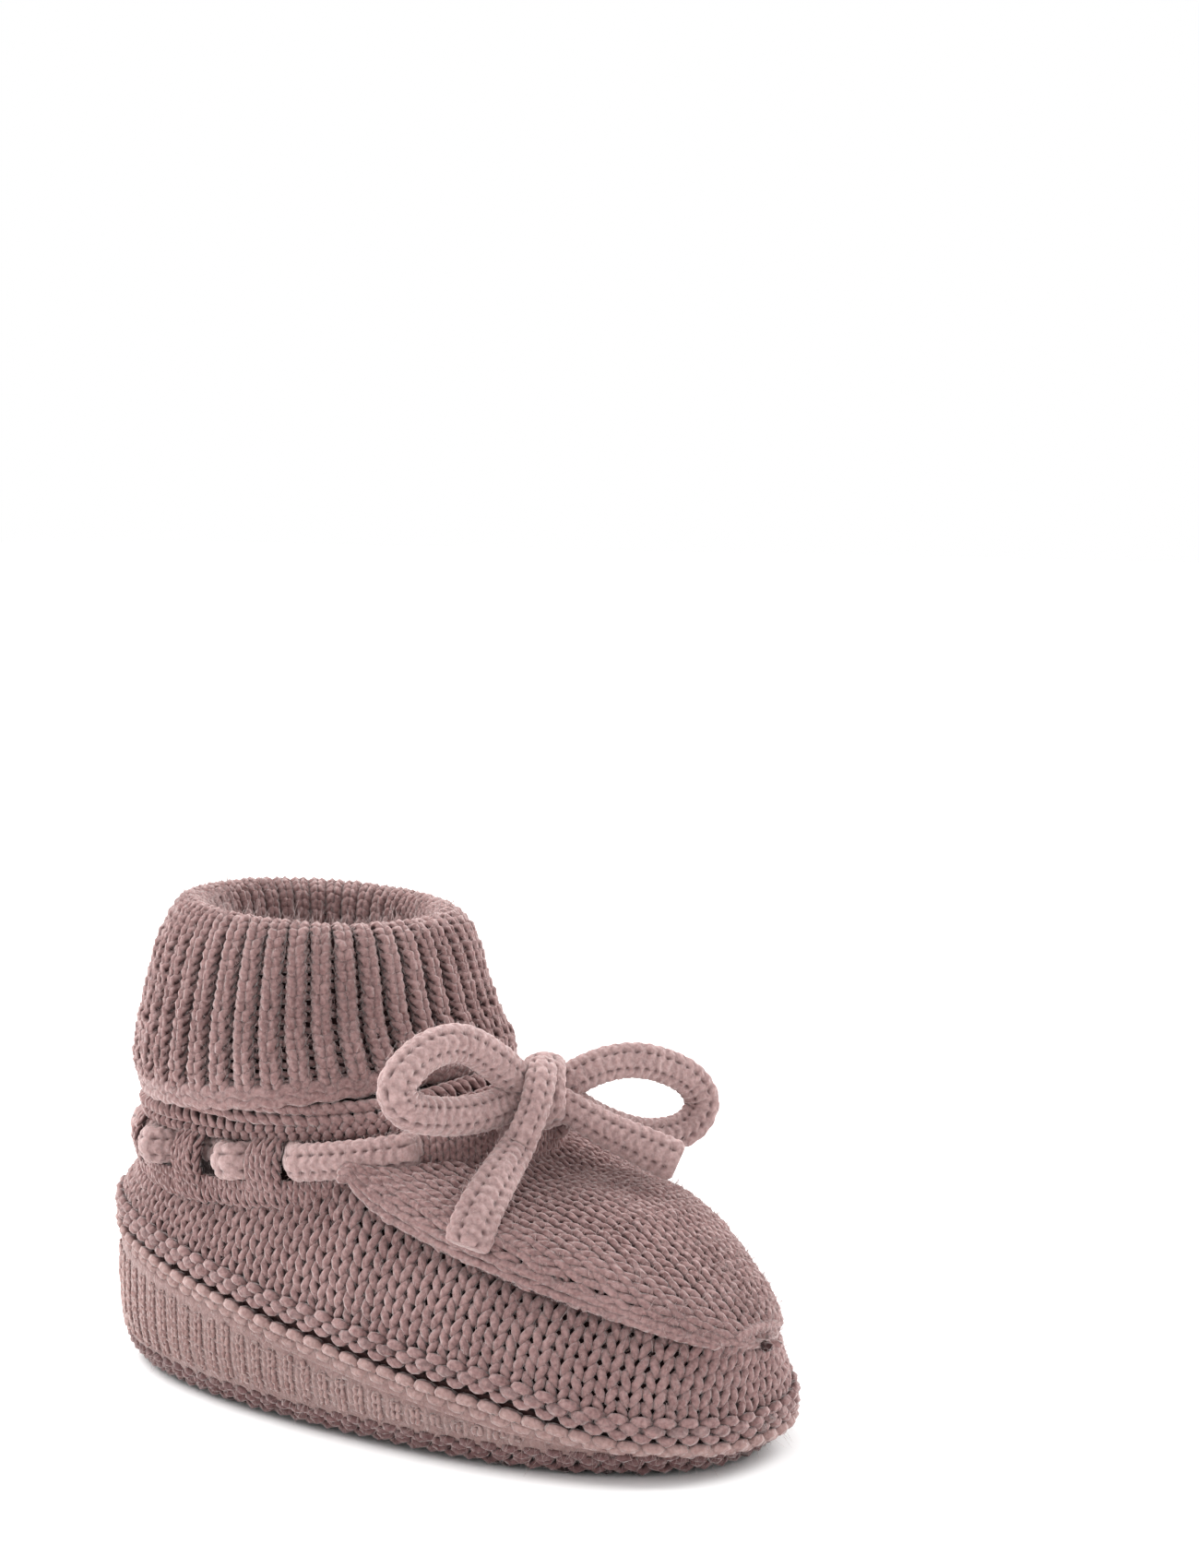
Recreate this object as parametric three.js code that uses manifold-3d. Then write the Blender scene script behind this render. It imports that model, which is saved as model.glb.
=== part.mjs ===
// A hand-knitted baby bootie with a turned-down ribbed cuff and a lace tied in a bow.
// Millimetres. +X points to the toe, +Y to the wearer's left and +Z up. The sole lies on Z = 0.
// The origin is the middle of the bootie's base.
//
// Each area of knitting is a closed ring or panel as thick as the fabric, with a small gap to its
// neighbour. A ring is described by its section at an angle round the foot: 0 at the toe, a
// quarter turn on the wearer's left side and a half turn at the heel.
import * as THREE from "three";
import * as BufferGeometryUtils from "three/addons/utils/BufferGeometryUtils.js";
import Module from "manifold-3d";

const wasm = await Module();
wasm.setup();

// ---------------------------------------------------------------- driving dimensions
const FOOT_LENGTH = 98; // of the sole
const HALF_WIDTH = 23; // of the sole at mid length
const BALL_EXTRA = 2; // how much wider the ball is, and how much narrower the heel
const OUTLINE_POWER = 0.87; // below 1 makes an outline fuller than an ellipse
const FABRIC = 2.8; // thickness of the knitting
const BUMP = 0.9; // how far a purl bump stands out
const GAP = 0.3; // between neighbouring areas of knitting
const SOLE_EDGE = 4.3; // height of the sole's upper edge
const SOLE_INSET = 2.6; // how far the flat underside stays inside the outline

const RIDGE_HEIGHT = 3; // of one raised purl row
const WALL_BULGE = 1.4; // how far the wall stands outside the sole's outline

const TOP_HALF_WIDTH = 19.8; // of the side wall's upper edge at mid length
const HEEL_TOP = 46; // from the origin back to the top of the heel
const TOE_TOP = 49; // from the origin forward to the top of the toe wall
const INSTEP_END = 48.2; // where the instep panel's nose ends
const INSTEP_START = 4; // where its back corners lie
const INSTEP_GAP = 1.3; // between the panel and the ankle

const ANKLE_X = -15; // middle of the oval ankle
const ANKLE_HALF_LENGTH = 31;
const ANKLE_HALF_WIDTH = 21.5;
const LACE_ROW_BACK = 31.4; // height of the row of eyelets at the heel
const LACE_ROW_RISE = 6.1; // how much higher it is in front

const CUFF_X = -19.8; // middle of the round cuff
const HEM_RADIUS = 25.3;
const HEM_HEIGHT = 38.2;
const HEM_RISE = 4; // the hem rides up over the instep in front
const FOLD_TOP = 64; // top of the fold, and so the bootie's height

const LACE_DIAMETER = 3.8;
const LACE_PROUD = 0.8; // from the knitting's surface to the middle of the lace lying on it
const KNOT = new THREE.Vector3(17.5, -1, 42);

const FOOT_SECTIONS = 44; // round the foot
const CUFF_SECTIONS = 36; // round the cuff

const WOOL = 0xa98c8c;
const WOOL_SHADE = 0x8f7474;
const WOOL_LIGHT = 0xb89c9b;

// ---------------------------------------------------------------- the bootie's guiding curves
const fuller = (value) => Math.sign(value) * Math.abs(value) ** OUTLINE_POWER;

const step = (low, high, value) => THREE.MathUtils.smoothstep(value, low, high);

const mix = THREE.MathUtils.lerp;

// The sole's outline seen from above, grown outwards.
function outline(angle, grow) {
  const along = Math.cos(angle);
  const x = (FOOT_LENGTH / 2 + grow) * fuller(along);
  const y = (HALF_WIDTH + BALL_EXTRA * along + grow) * fuller(Math.sin(angle));
  return { x, y };
}

const soleEdge = (x) => SOLE_EDGE - 1.4 * step(20, 46, x);

// Height of the groove between the two purl ridges: high at the heel and low at the toe.
function grooveHeight(angle) {
  const { x } = outline(angle, 0);
  return 13 - 0.15 * x - 0.7 * step(26, 42, x);
}

// The lower ridge thins out towards the toe, where it tucks in under the upper one.
const lowerRidgeHeight = (x) => RIDGE_HEIGHT * (1 - 0.75 * step(20, 46, x));

// Height of the eyelet row at an angle round the ankle.
function frontness(angle) {
  return ((1 + Math.cos(angle)) / 2) ** 3;
}

const laceRow = (angle) => LACE_ROW_BACK + LACE_ROW_RISE * frontness(angle);

function ankle(angle, grow) {
  const x = ANKLE_X + (ANKLE_HALF_LENGTH + grow) * Math.cos(angle);
  const y = (ANKLE_HALF_WIDTH + grow) * Math.sin(angle);
  return { x, y };
}

function cuffRing(angle, radius) {
  return { x: CUFF_X + radius * Math.cos(angle), y: radius * Math.sin(angle) };
}

const hemHeight = (angle) => HEM_HEIGHT + HEM_RISE * frontness(angle);

// Height of the side wall's upper edge: under the eyelets at the back, then along the instep.
function topEdgeHeight(x) {
  const cosine = THREE.MathUtils.clamp((x - ANKLE_X) / ANKLE_HALF_LENGTH, -1, 1);
  const underEyelets = laceRow(Math.acos(cosine)) - 3.4;
  const alongInstep = 28.9 - 0.28 * x + 3.5 * Math.exp((3 - x) / 3);
  return Math.min(underEyelets, alongInstep);
}

function topEdge(angle) {
  const along = Math.cos(angle);
  const back = along < 0;
  const x = (back ? HEEL_TOP : TOE_TOP) * fuller(along);
  const y = (TOP_HALF_WIDTH - (back ? 4 : 2) * along) * fuller(Math.sin(angle));
  return { x, y, z: topEdgeHeight(x) };
}

// Half the width of the wall's upper edge at a distance along the foot.
function topHalfWidth(x) {
  const along = THREE.MathUtils.clamp(x / TOE_TOP, 0, 1) ** (1 / OUTLINE_POWER);
  return (TOP_HALF_WIDTH - 2 * along) * fuller(Math.sqrt(1 - along * along));
}

// Height of the instep's crest: steep at the ankle, level, then down round the toe.
function crestHeight(x) {
  const ankleRise = 6.5 * Math.exp((8 - Math.max(x, 14)) / 7);
  const toeDrop = 0.02 * Math.max(0, x - 24) ** 2;
  return 30.9 + ankleRise - toeDrop;
}

// ---------------------------------------------------------------- making closed solids
// Joins closed sections, each a loop of points, into one closed solid. The last section joins the
// first one in a ring, and otherwise both ends are capped.
function loft(sections, ring) {
  const count = sections[0].length;
  const points = sections.flat();
  const index = [];
  const rows = ring ? sections.length : sections.length - 1;
  for (let row = 0; row < rows; row += 1) {
    const here = row * count;
    const next = ((row + 1) % sections.length) * count;
    for (let i = 0; i < count; i += 1) {
      const j = (i + 1) % count;
      index.push(here + i, here + j, next + j);
      index.push(here + i, next + j, next + i);
    }
  }
  if (!ring) {
    const last = (sections.length - 1) * count;
    const flat = sections.map((section) => flatten(section));
    for (const [a, b, c] of THREE.ShapeUtils.triangulateShape(flat[0], [])) {
      index.push(c, b, a);
    }
    for (const [a, b, c] of THREE.ShapeUtils.triangulateShape(flat.at(-1), [])) {
      index.push(last + a, last + b, last + c);
    }
  }
  const geometry = new THREE.BufferGeometry();
  geometry.setAttribute("position", new THREE.Float32BufferAttribute(toNumbers(points), 3));
  geometry.setIndex(index);
  if (volume(geometry) < 0) {
    geometry.setIndex(index.reverse());
  }
  return geometry;
}

const toNumbers = (points) => points.flatMap(({ x, y, z }) => [x, y, z]);

// An end section seen square on, for its cap.
function flatten(section) {
  const centre = new THREE.Vector3();
  section.forEach((point) => centre.add(new THREE.Vector3(point.x, point.y, point.z)));
  centre.divideScalar(section.length);
  const arms = section.map((point) => new THREE.Vector3(point.x, point.y, point.z).sub(centre));
  const normal = new THREE.Vector3();
  arms.forEach((arm, i) => normal.add(arm.clone().cross(arms[(i + 1) % arms.length])));
  const across = arms[0].clone().normalize();
  const up = normal.normalize().cross(across);
  return arms.map((arm) => new THREE.Vector2(arm.dot(across), arm.dot(up)));
}

function volume(geometry) {
  const position = geometry.getAttribute("position");
  const { array } = geometry.getIndex();
  const corner = (i) => new THREE.Vector3().fromBufferAttribute(position, array[i]);
  let total = 0;
  for (let i = 0; i < array.length; i += 3) {
    total += corner(i).dot(corner(i + 1).cross(corner(i + 2)));
  }
  return total;
}

// A ring whose section at each angle comes from sectionAt.
function ringOf(steps, sectionAt) {
  const sections = [];
  for (let i = 0; i < steps; i += 1) {
    sections.push(sectionAt((2 * Math.PI * i) / steps));
  }
  return loft(sections, true);
}

const at = ({ x, y }, z) => ({ x, y, z });

// A round cord along a smooth curve through the points.
function cord(points, diameter, steps, sides = 8) {
  const corners = [];
  for (let i = 0; i < sides; i += 1) {
    const turn = (2 * Math.PI * i) / sides;
    corners.push(new THREE.Vector2(Math.cos(turn), Math.sin(turn)).multiplyScalar(diameter / 2));
  }
  return new THREE.ExtrudeGeometry(new THREE.Shape(corners), {
    steps,
    bevelEnabled: false,
    extrudePath: new THREE.CatmullRomCurve3(points),
  });
}

function toManifold(geometry) {
  const bare = geometry.clone();
  bare.deleteAttribute("normal");
  bare.deleteAttribute("uv");
  const merged = BufferGeometryUtils.mergeVertices(bare, 1e-3);
  return new wasm.Manifold(
    new wasm.Mesh({
      numProp: 3,
      vertProperties: new Float32Array(merged.getAttribute("position").array),
      triVerts: new Uint32Array(merged.getIndex().array),
    }),
  );
}

function fromManifold(solid) {
  const { vertProperties, triVerts } = solid.getMesh();
  const geometry = new THREE.BufferGeometry();
  geometry.setAttribute("position", new THREE.BufferAttribute(vertProperties, 3));
  geometry.setIndex(new THREE.BufferAttribute(triVerts, 1));
  return geometry;
}

// ---------------------------------------------------------------- the foot
// A flat garter-stitch slab with a rounded rim.
function sole() {
  const rim = [
    { grow: -SOLE_INSET, height: 0 },
    { grow: -0.7, height: 0.28 },
    { grow: 0.4, height: 0.65 },
    { grow: 0, height: 1 },
  ];
  const sections = rim.map(({ grow, height }) => {
    const section = [];
    for (let i = 0; i < FOOT_SECTIONS; i += 1) {
      const place = outline((2 * Math.PI * i) / FOOT_SECTIONS, grow);
      section.push(at(place, height * soleEdge(place.x)));
    }
    return section;
  });
  return loft(sections, false);
}

// The plain band between the sole and the ridges: tall at the heel and a sliver at the toe.
function sidewallBand() {
  return ringOf(FOOT_SECTIONS, (angle) => {
    const { x } = outline(angle, 0);
    const low = soleEdge(x) + GAP;
    const high = Math.max(low + 0.6, grooveHeight(angle) - lowerRidgeHeight(x) - GAP);
    return [
      at(outline(angle, 0.2), low),
      at(outline(angle, WALL_BULGE * 0.8), mix(low, high, 0.5)),
      at(outline(angle, WALL_BULGE), high),
      at(outline(angle, WALL_BULGE - FABRIC), high),
      at(outline(angle, WALL_BULGE * 0.8 - FABRIC), mix(low, high, 0.5)),
      at(outline(angle, 0.2 - FABRIC), low),
    ];
  });
}

// One raised row of purl bumps, below the groove (side = -1) or above it (side = 1).
function purlRidge(side) {
  return ringOf(FOOT_SECTIONS, (angle) => {
    const height = side > 0 ? RIDGE_HEIGHT : lowerRidgeHeight(outline(angle, 0).x);
    const nearGroove = grooveHeight(angle) + side * GAP * 0.5;
    const away = grooveHeight(angle) + side * (height - GAP * 0.5);
    const middle = (nearGroove + away) / 2;
    return [
      at(outline(angle, WALL_BULGE - FABRIC), nearGroove),
      at(outline(angle, WALL_BULGE), nearGroove),
      at(outline(angle, WALL_BULGE + BUMP), middle),
      at(outline(angle, WALL_BULGE), away),
      at(outline(angle, WALL_BULGE - FABRIC), away),
    ];
  });
}

// The stocking-stitch wall from the ridges up to the eyelets and to the instep's edge.
function sideUpper() {
  return ringOf(FOOT_SECTIONS, (angle) => {
    const low = grooveHeight(angle) + RIDGE_HEIGHT + GAP;
    const top = topEdge(angle);
    const outer = [0, 0.35, 0.7, 1].map((share) => {
      const foot = outline(angle, WALL_BULGE - 0.4);
      const lean = share ** 1.6;
      return {
        x: mix(foot.x, top.x, lean),
        y: mix(foot.y, top.y, lean),
        z: mix(low, top.z - GAP, share),
      };
    });
    const inward = (point) => {
      const reach = Math.hypot(point.x, point.y);
      const share = (reach - FABRIC) / reach;
      return { x: point.x * share, y: point.y * share, z: point.z };
    };
    return [...outer, ...outer.map(inward).reverse()];
  });
}

// The crowned panel over the instep, with rolled edges that rest on the side wall.
const PANEL_ACROSS = 12; // sections across and along the panel
const PANEL_ALONG = 15;
const PANEL_ROLL = 2.6; // height of its rolled edge
const PANEL_OVERHANG = 1.3; // how far the rolled edge stands outside the wall

// A spot on the panel: width runs from -1 to 1 across it, and share from 0 at the ankle to 1.
function panelSpot(width, share) {
  const nominal = mix(10, INSTEP_END, share);
  const reach = Math.min(1, Math.abs(width * topHalfWidth(nominal)) / (ANKLE_HALF_WIDTH + INSTEP_GAP));
  const oval = ANKLE_X + (ANKLE_HALF_LENGTH + INSTEP_GAP) * Math.sqrt(1 - reach * reach);
  const x = mix(Math.max(INSTEP_START, oval), INSTEP_END, share);
  const half = topHalfWidth(x);
  const edge = topEdgeHeight(x) + GAP;
  const shoulder = edge + PANEL_ROLL;
  const arch = (1 - Math.abs(width) ** 2.3) ** 0.62;
  const outerZ = mix(shoulder, Math.max(crestHeight(x), shoulder + 0.5), arch);
  const nose = step(INSTEP_END - 3.5, INSTEP_END - 1, x);
  const innerZ = Math.max(edge, mix(outerZ - FABRIC - 0.2, edge, nose));
  const innerShare = 1 - Math.min(1.9, 0.35 * half) / half;
  return { x, half, edge, outerZ, innerZ, innerShare };
}

function instepPanel() {
  const sections = [];
  for (let i = 0; i <= PANEL_ALONG; i += 1) {
    const share = i / PANEL_ALONG;
    const outer = [];
    const inner = [];
    for (let j = 0; j <= PANEL_ACROSS; j += 1) {
      const width = -1 + (2 * j) / PANEL_ACROSS;
      const spot = panelSpot(width, share);
      outer.push({ x: spot.x, y: width * spot.half, z: spot.outerZ });
      const isHem = j === 0 || j === PANEL_ACROSS;
      const z = isHem ? spot.edge : spot.innerZ;
      inner.push({ x: spot.x, y: width * spot.half * spot.innerShare, z });
    }
    const rolled = (side, overhang, height) => {
      const spot = panelSpot(side, share);
      return { x: spot.x, y: side * (spot.half + overhang), z: spot.edge + height };
    };
    sections.push([
      rolled(-1, 0.5, 0),
      rolled(-1, PANEL_OVERHANG, 1.2),
      ...outer,
      rolled(1, PANEL_OVERHANG, 1.2),
      rolled(1, 0.5, 0),
      ...inner.reverse(),
    ]);
  }
  return loft(sections, false);
}

// ---------------------------------------------------------------- the ankle
// Arcs of the eyelet row where the lace shows outside the knitting, as centre and half width in
// degrees. Between them it runs behind a post of stitches.
const SHORT_SHOW = 4;
const LONG_SHOW = 15;
const SHOWS = [
  { centre: 58, half: LONG_SHOW },
  ...[91, 124, 158, 202, 236, 269].map((centre) => ({ centre, half: SHORT_SHOW })),
  { centre: 302, half: LONG_SHOW },
];
const FIRST_EYELET = 10; // degrees each side of the front where the lace leaves for the knot

function laceRoute() {
  const route = [];
  for (let degrees = FIRST_EYELET; degrees <= 360 - FIRST_EYELET; degrees += 4) {
    const angle = THREE.MathUtils.degToRad(degrees);
    const shown = SHOWS.map(({ centre, half }) => {
      return 1 - step(half - 2, half + 4, Math.abs(degrees - centre));
    });
    const fromEnd = Math.min(degrees - FIRST_EYELET, 360 - FIRST_EYELET - degrees);
    const atEnd = 1 - step(0, 8, fromEnd);
    const outside = Math.max(...shown, atEnd);
    const grow = mix(-FABRIC - LACE_DIAMETER / 2, LACE_PROUD, outside);
    const place = ankle(angle, grow);
    route.push(new THREE.Vector3(place.x, place.y, laceRow(angle)));
  }
  return route;
}

const LACE_STEPS = 76;

const laceRound = () => cord(laceRoute(), LACE_DIAMETER, LACE_STEPS);

// The band that the lace is threaded through, with an eyelet at each place where it passes.
function eyeletBand() {
  const band = ringOf(FOOT_SECTIONS, (angle) => {
    const row = laceRow(angle);
    const front = frontness(angle);
    const profile = [
      { grow: 0, z: row - 3.1 },
      { grow: 0.2, z: row },
      { grow: -0.4 - 2.6 * front, z: row + 2.6 },
    ];
    const outer = profile.map(({ grow, z }) => at(ankle(angle, grow), z));
    const inner = profile.map(({ grow, z }) => at(ankle(angle, grow - FABRIC), z));
    return [...outer, ...inner.reverse()];
  });
  const cutter = cord(laceRoute(), LACE_DIAMETER + 2 * GAP, LACE_STEPS);
  return fromManifold(toManifold(band).subtract(toManifold(cutter)));
}

// Garter-stitch rows that round the shoulder of the ankle and dive under the cuff's hem.
function garterBand() {
  return ringOf(FOOT_SECTIONS, (angle) => {
    const row = laceRow(angle);
    const front = frontness(angle);
    const profile = [
      at(ankle(angle, -0.4 - 2.6 * front), row + 2.6 + GAP),
      at(ankle(angle, 0.2 - 5.6 * front), row + 4.9 - 0.6 * front),
      at(cuffRing(angle, HEM_RADIUS - 3.4), hemHeight(angle) - 0.5),
    ];
    const inner = [
      at(ankle(angle, -0.4 - 2.6 * front - FABRIC), row + 2.6 + GAP),
      at(ankle(angle, -0.2 - 5.6 * front - FABRIC), row + 3.6 - 0.6 * front),
      at(cuffRing(angle, HEM_RADIUS - 3.4 - FABRIC), hemHeight(angle) - 0.5),
    ];
    return [...profile, ...inner.reverse()];
  });
}

// ---------------------------------------------------------------- the cuff
const ringSection = (angle, profile) =>
  profile.map(({ radius, z }) => at(cuffRing(angle, radius), z));

// The ribbed tube that stands up inside the turned-down cuff.
function cuffStanding() {
  return ringOf(CUFF_SECTIONS, (angle) => {
    const low = hemHeight(angle) - 0.5 + GAP;
    const outer = [
      { radius: HEM_RADIUS - 3.5, z: low },
      { radius: 18.8, z: 47 },
      { radius: 17.4, z: 52.5 },
      { radius: 16.1, z: 58 },
    ];
    const inner = outer.map(({ radius, z }) => ({ radius: radius - FABRIC + 0.1, z }));
    return ringSection(angle, [...outer, ...inner.reverse()]);
  });
}

// The fold and the part that is turned down outside, to its hem.
function cuffTurnedDown() {
  return ringOf(CUFF_SECTIONS, (angle) => {
    const hem = hemHeight(angle);
    return ringSection(angle, [
      { radius: 13.2, z: 58 + GAP },
      { radius: 13, z: 60.6 },
      { radius: 14.2, z: 62.3 },
      { radius: 16.4, z: FOLD_TOP },
      { radius: 18.7, z: 62 },
      { radius: 20.2, z: 59 },
      { radius: 21.6, z: 54 },
      { radius: 22.9, z: 49 },
      { radius: HEM_RADIUS, z: hem + 1.4 },
      { radius: HEM_RADIUS - 0.6, z: hem },
      { radius: HEM_RADIUS - 2.7, z: hem + 0.2 },
      { radius: 20.2, z: 49 },
      { radius: 18.9, z: 54 },
      { radius: 17.4, z: 58.7 },
      { radius: 16.4, z: 59.8 },
      { radius: 15.9, z: 58 + GAP },
    ]);
  });
}

// ---------------------------------------------------------------- the bow
function bowKnot() {
  const geometry = new THREE.SphereGeometry(1, 12, 8);
  geometry.scale(3.1, 3.6, 3.2);
  geometry.translate(KNOT.x, KNOT.y, KNOT.z);
  return geometry;
}

// Routes of the loops and tails, from the knot outwards.
const LOOP_RIGHT_ROUTE = [
  [16.4, -5.8, 43.4], [15.6, -9, 47], [14.2, -13.5, 49.2], [12.9, -18.5, 48.3],
  [12, -22.2, 45], [12.3, -20.8, 41.8], [13.6, -16, 40.4], [15.2, -10.5, 40.2],
  [16.2, -6.2, 40.6],
];
const LOOP_LEFT_ROUTE = [
  [18.8, 3.8, 42.8], [20.6, 7.5, 45], [23.4, 12.5, 45.4], [26, 18, 42.6],
  [26.8, 20.6, 38.6], [25.8, 18.6, 35.4], [23.4, 13.5, 34.8], [20.6, 8, 36.8],
  [18.9, 4.2, 39.4],
];
const TAIL_RIGHT_ROUTE = [
  [18.6, -4.4, 38.4], [20, -9.2, 36.1], [21, -13.9, 33.4], [21.6, -18.2, 30], [22, -21, 26.4],
];
const TAIL_LEFT_ROUTE = [
  [21.6, 1, 39.4], [24.6, 3.4, 37.2], [28, 6, 35.2], [32, 8.4, 33.2],
];

function laceAlong(route, steps) {
  return cord(route.map(([x, y, z]) => new THREE.Vector3(x, y, z)), LACE_DIAMETER, steps);
}

// ---------------------------------------------------------------- assembly
const bootie = new THREE.Group();

function add(name, geometry, color) {
  const material = new THREE.MeshStandardMaterial({ color, roughness: 0.95, metalness: 0 });
  const mesh = new THREE.Mesh(geometry, material);
  mesh.name = name;
  bootie.add(mesh);
}

add("sole", sole(), WOOL_SHADE);
add("sidewall_band", sidewallBand(), WOOL);
add("purl_ridge_lower", purlRidge(-1), WOOL_LIGHT);
add("purl_ridge_upper", purlRidge(1), WOOL_LIGHT);
add("side_upper", sideUpper(), WOOL);
add("instep_panel", instepPanel(), WOOL_LIGHT);
add("eyelet_band", eyeletBand(), WOOL);
add("garter_band", garterBand(), WOOL_SHADE);
add("cuff_standing", cuffStanding(), WOOL_SHADE);
add("cuff_turned_down", cuffTurnedDown(), WOOL);
add("lace_round_ankle", laceRound(), WOOL_LIGHT);
add("bow_knot", bowKnot(), WOOL_LIGHT);
add("bow_loop_left", laceAlong(LOOP_LEFT_ROUTE, 24), WOOL_LIGHT);
add("bow_loop_right", laceAlong(LOOP_RIGHT_ROUTE, 24), WOOL_LIGHT);
add("lace_tail_left", laceAlong(TAIL_LEFT_ROUTE, 8), WOOL_LIGHT);
add("lace_tail_right", laceAlong(TAIL_RIGHT_ROUTE, 8), WOOL_LIGHT);

export default bootie;
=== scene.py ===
"""A hand-knitted baby bootie with a turned-down ribbed cuff and a lace tied in a bow.

The foot, the ankle and the cuff are laid as lengths of yarn. Each area of knitting has a smooth outer
surface, and its yarn lies just under that surface course by course, as loops that hang in the course
below. Under the yarn lies a closed sheet. The sheets and the backs of the yarns take painted shade, a dark
colour for the depths between the stitches. A few edges are plain lengths of yarn. The lace is a tube, with
its small stitches as a relief in the mesh, and painted shade in its dents.

Shapes are worked out in millimetres in the frame's own axes: +X to the toe, +Y to the wearer's left and
+Z up. They become metres where a mesh is made.
"""

import math

import bpy
import numpy as np
from mathutils import Matrix, Vector


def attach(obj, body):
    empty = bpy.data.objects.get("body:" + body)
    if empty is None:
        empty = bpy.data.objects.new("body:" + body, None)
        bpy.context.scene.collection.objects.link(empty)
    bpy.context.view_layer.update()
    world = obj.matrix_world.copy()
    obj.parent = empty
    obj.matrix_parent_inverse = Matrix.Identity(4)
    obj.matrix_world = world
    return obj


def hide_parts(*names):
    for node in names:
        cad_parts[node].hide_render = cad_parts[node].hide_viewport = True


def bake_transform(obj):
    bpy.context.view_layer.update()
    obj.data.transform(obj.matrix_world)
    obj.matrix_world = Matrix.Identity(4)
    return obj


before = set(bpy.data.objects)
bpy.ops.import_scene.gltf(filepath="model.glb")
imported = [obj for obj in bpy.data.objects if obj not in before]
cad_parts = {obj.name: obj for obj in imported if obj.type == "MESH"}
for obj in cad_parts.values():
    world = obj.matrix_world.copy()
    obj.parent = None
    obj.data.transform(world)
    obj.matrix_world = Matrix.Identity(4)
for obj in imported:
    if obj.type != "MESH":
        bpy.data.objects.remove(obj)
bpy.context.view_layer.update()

MM = 0.001
ROOT = "bootie"
random = np.random.default_rng(7)

# -------------------- driving dimensions, in mm
FOOT_LENGTH = 98
HALF_WIDTH = 23
BALL_EXTRA = 2
OUTLINE_POWER = 0.87
RIDGE_HEIGHT = 3
WALL_BULGE = 2.2  # outer face of the yarn, outside the sole's outline
TOP_HALF_WIDTH = 19.8
HEEL_TOP = 46
TOE_TOP = 49
ANKLE_X = -15
ANKLE_HALF_LENGTH = 31
ANKLE_HALF_WIDTH = 21.5
LACE_ROW_BACK = 31.4
LACE_ROW_RISE = 6.1
CUFF_X = -19.8
HEM_RADIUS = 25.3
HEM_HEIGHT = 38.2
HEM_RISE = 4
FOLD_TOP = 63
KNOT = np.array([17.5, -1, 42])

# -------------------- gauge of the knitting
FOOT_COLUMNS = 86  # columns of stitches round the foot
ANKLE_COLUMNS = 104
GARTER_COLUMNS = 54
CUFF_RIBS = 42
ROW = 2.0  # height of a row in stocking stitch
RIB_ROW = 1.32
PANEL_COLUMN = 2.75  # width of a column on the instep
POINTS = 14  # along the yarn in each stitch
SIDES = 6  # round the yarn
SINK = 0.95  # how deep the yarn's middle lies under the surface that the stitches fill
FULL_PAINTED_SHADE = -1.0  # how much painted shade a sheet takes: -1 is all the painted shade of the depths between the stitches, 1 is the yarn's light side


# -------------------- guiding curves
def smoothstep(low, high, value):
    share = np.clip((value - low) / (high - low), 0, 1)
    return share * share * (3 - 2 * share)


def mix(a, b, share):
    return a + (b - a) * share


def fuller(value):
    return np.sign(value) * np.abs(value) ** OUTLINE_POWER


def point(x, y, z):
    return np.stack(np.broadcast_arrays(x, y, z), axis=-1).astype(float)


def outline(angle, grow):
    """The sole's outline seen from above, grown outwards."""
    along = np.cos(angle)
    x = (FOOT_LENGTH / 2 + grow) * fuller(along)
    y = (HALF_WIDTH + BALL_EXTRA * along + grow) * fuller(np.sin(angle))
    return x, y


def groove_height(angle):
    """Height of the groove between the two purl ridges."""
    x, _ = outline(angle, 0)
    return 13 - 0.15 * x - 1.7 * smoothstep(24, 42, x)


def lower_ridge_height(angle):
    """The lower ridge thins out towards the toe, where it tucks in under the upper one."""
    x, _ = outline(angle, 0)
    return RIDGE_HEIGHT * (1 - 0.75 * smoothstep(20, 46, x))


def frontness(angle):
    return ((1 + np.cos(angle)) / 2) ** 3


def lace_row(angle):
    return LACE_ROW_BACK + LACE_ROW_RISE * frontness(angle)


def ankle(angle, grow):
    x = ANKLE_X + (ANKLE_HALF_LENGTH + grow) * np.cos(angle)
    y = (ANKLE_HALF_WIDTH + grow) * np.sin(angle)
    return x, y


def hem_height(angle):
    return HEM_HEIGHT + HEM_RISE * frontness(angle)


def top_edge_height(x):
    """Height of the side wall's upper edge: under the eyelets at the back, then along the instep."""
    cosine = np.clip((x - ANKLE_X) / ANKLE_HALF_LENGTH, -1, 1)
    under_eyelets = lace_row(np.arccos(cosine)) - 3.4
    along_instep = 28.9 - 0.28 * x + 3.5 * np.exp((3 - x) / 3)
    return np.minimum(under_eyelets, along_instep)


def top_edge(angle):
    along = np.cos(angle)
    back = along < 0
    x = np.where(back, HEEL_TOP, TOE_TOP) * fuller(along)
    y = (TOP_HALF_WIDTH - np.where(back, 4, 2) * along) * fuller(np.sin(angle))
    return x, y, top_edge_height(x)


def equal_steps(ring):
    """The angle at a share of the way round a ring of points, so that columns are equally wide."""
    angles = np.linspace(0, 2 * np.pi, 721)
    x, y = ring(angles)
    steps = np.hypot(np.diff(x), np.diff(y))
    walked = np.concatenate([[0], np.cumsum(steps)]) / steps.sum()

    def angle_at(share):
        return np.interp(share % 1, walked, angles)

    return angle_at


foot_angle = equal_steps(lambda angle: outline(angle, WALL_BULGE))
ankle_angle = equal_steps(lambda angle: ankle(angle, 0))


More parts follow.
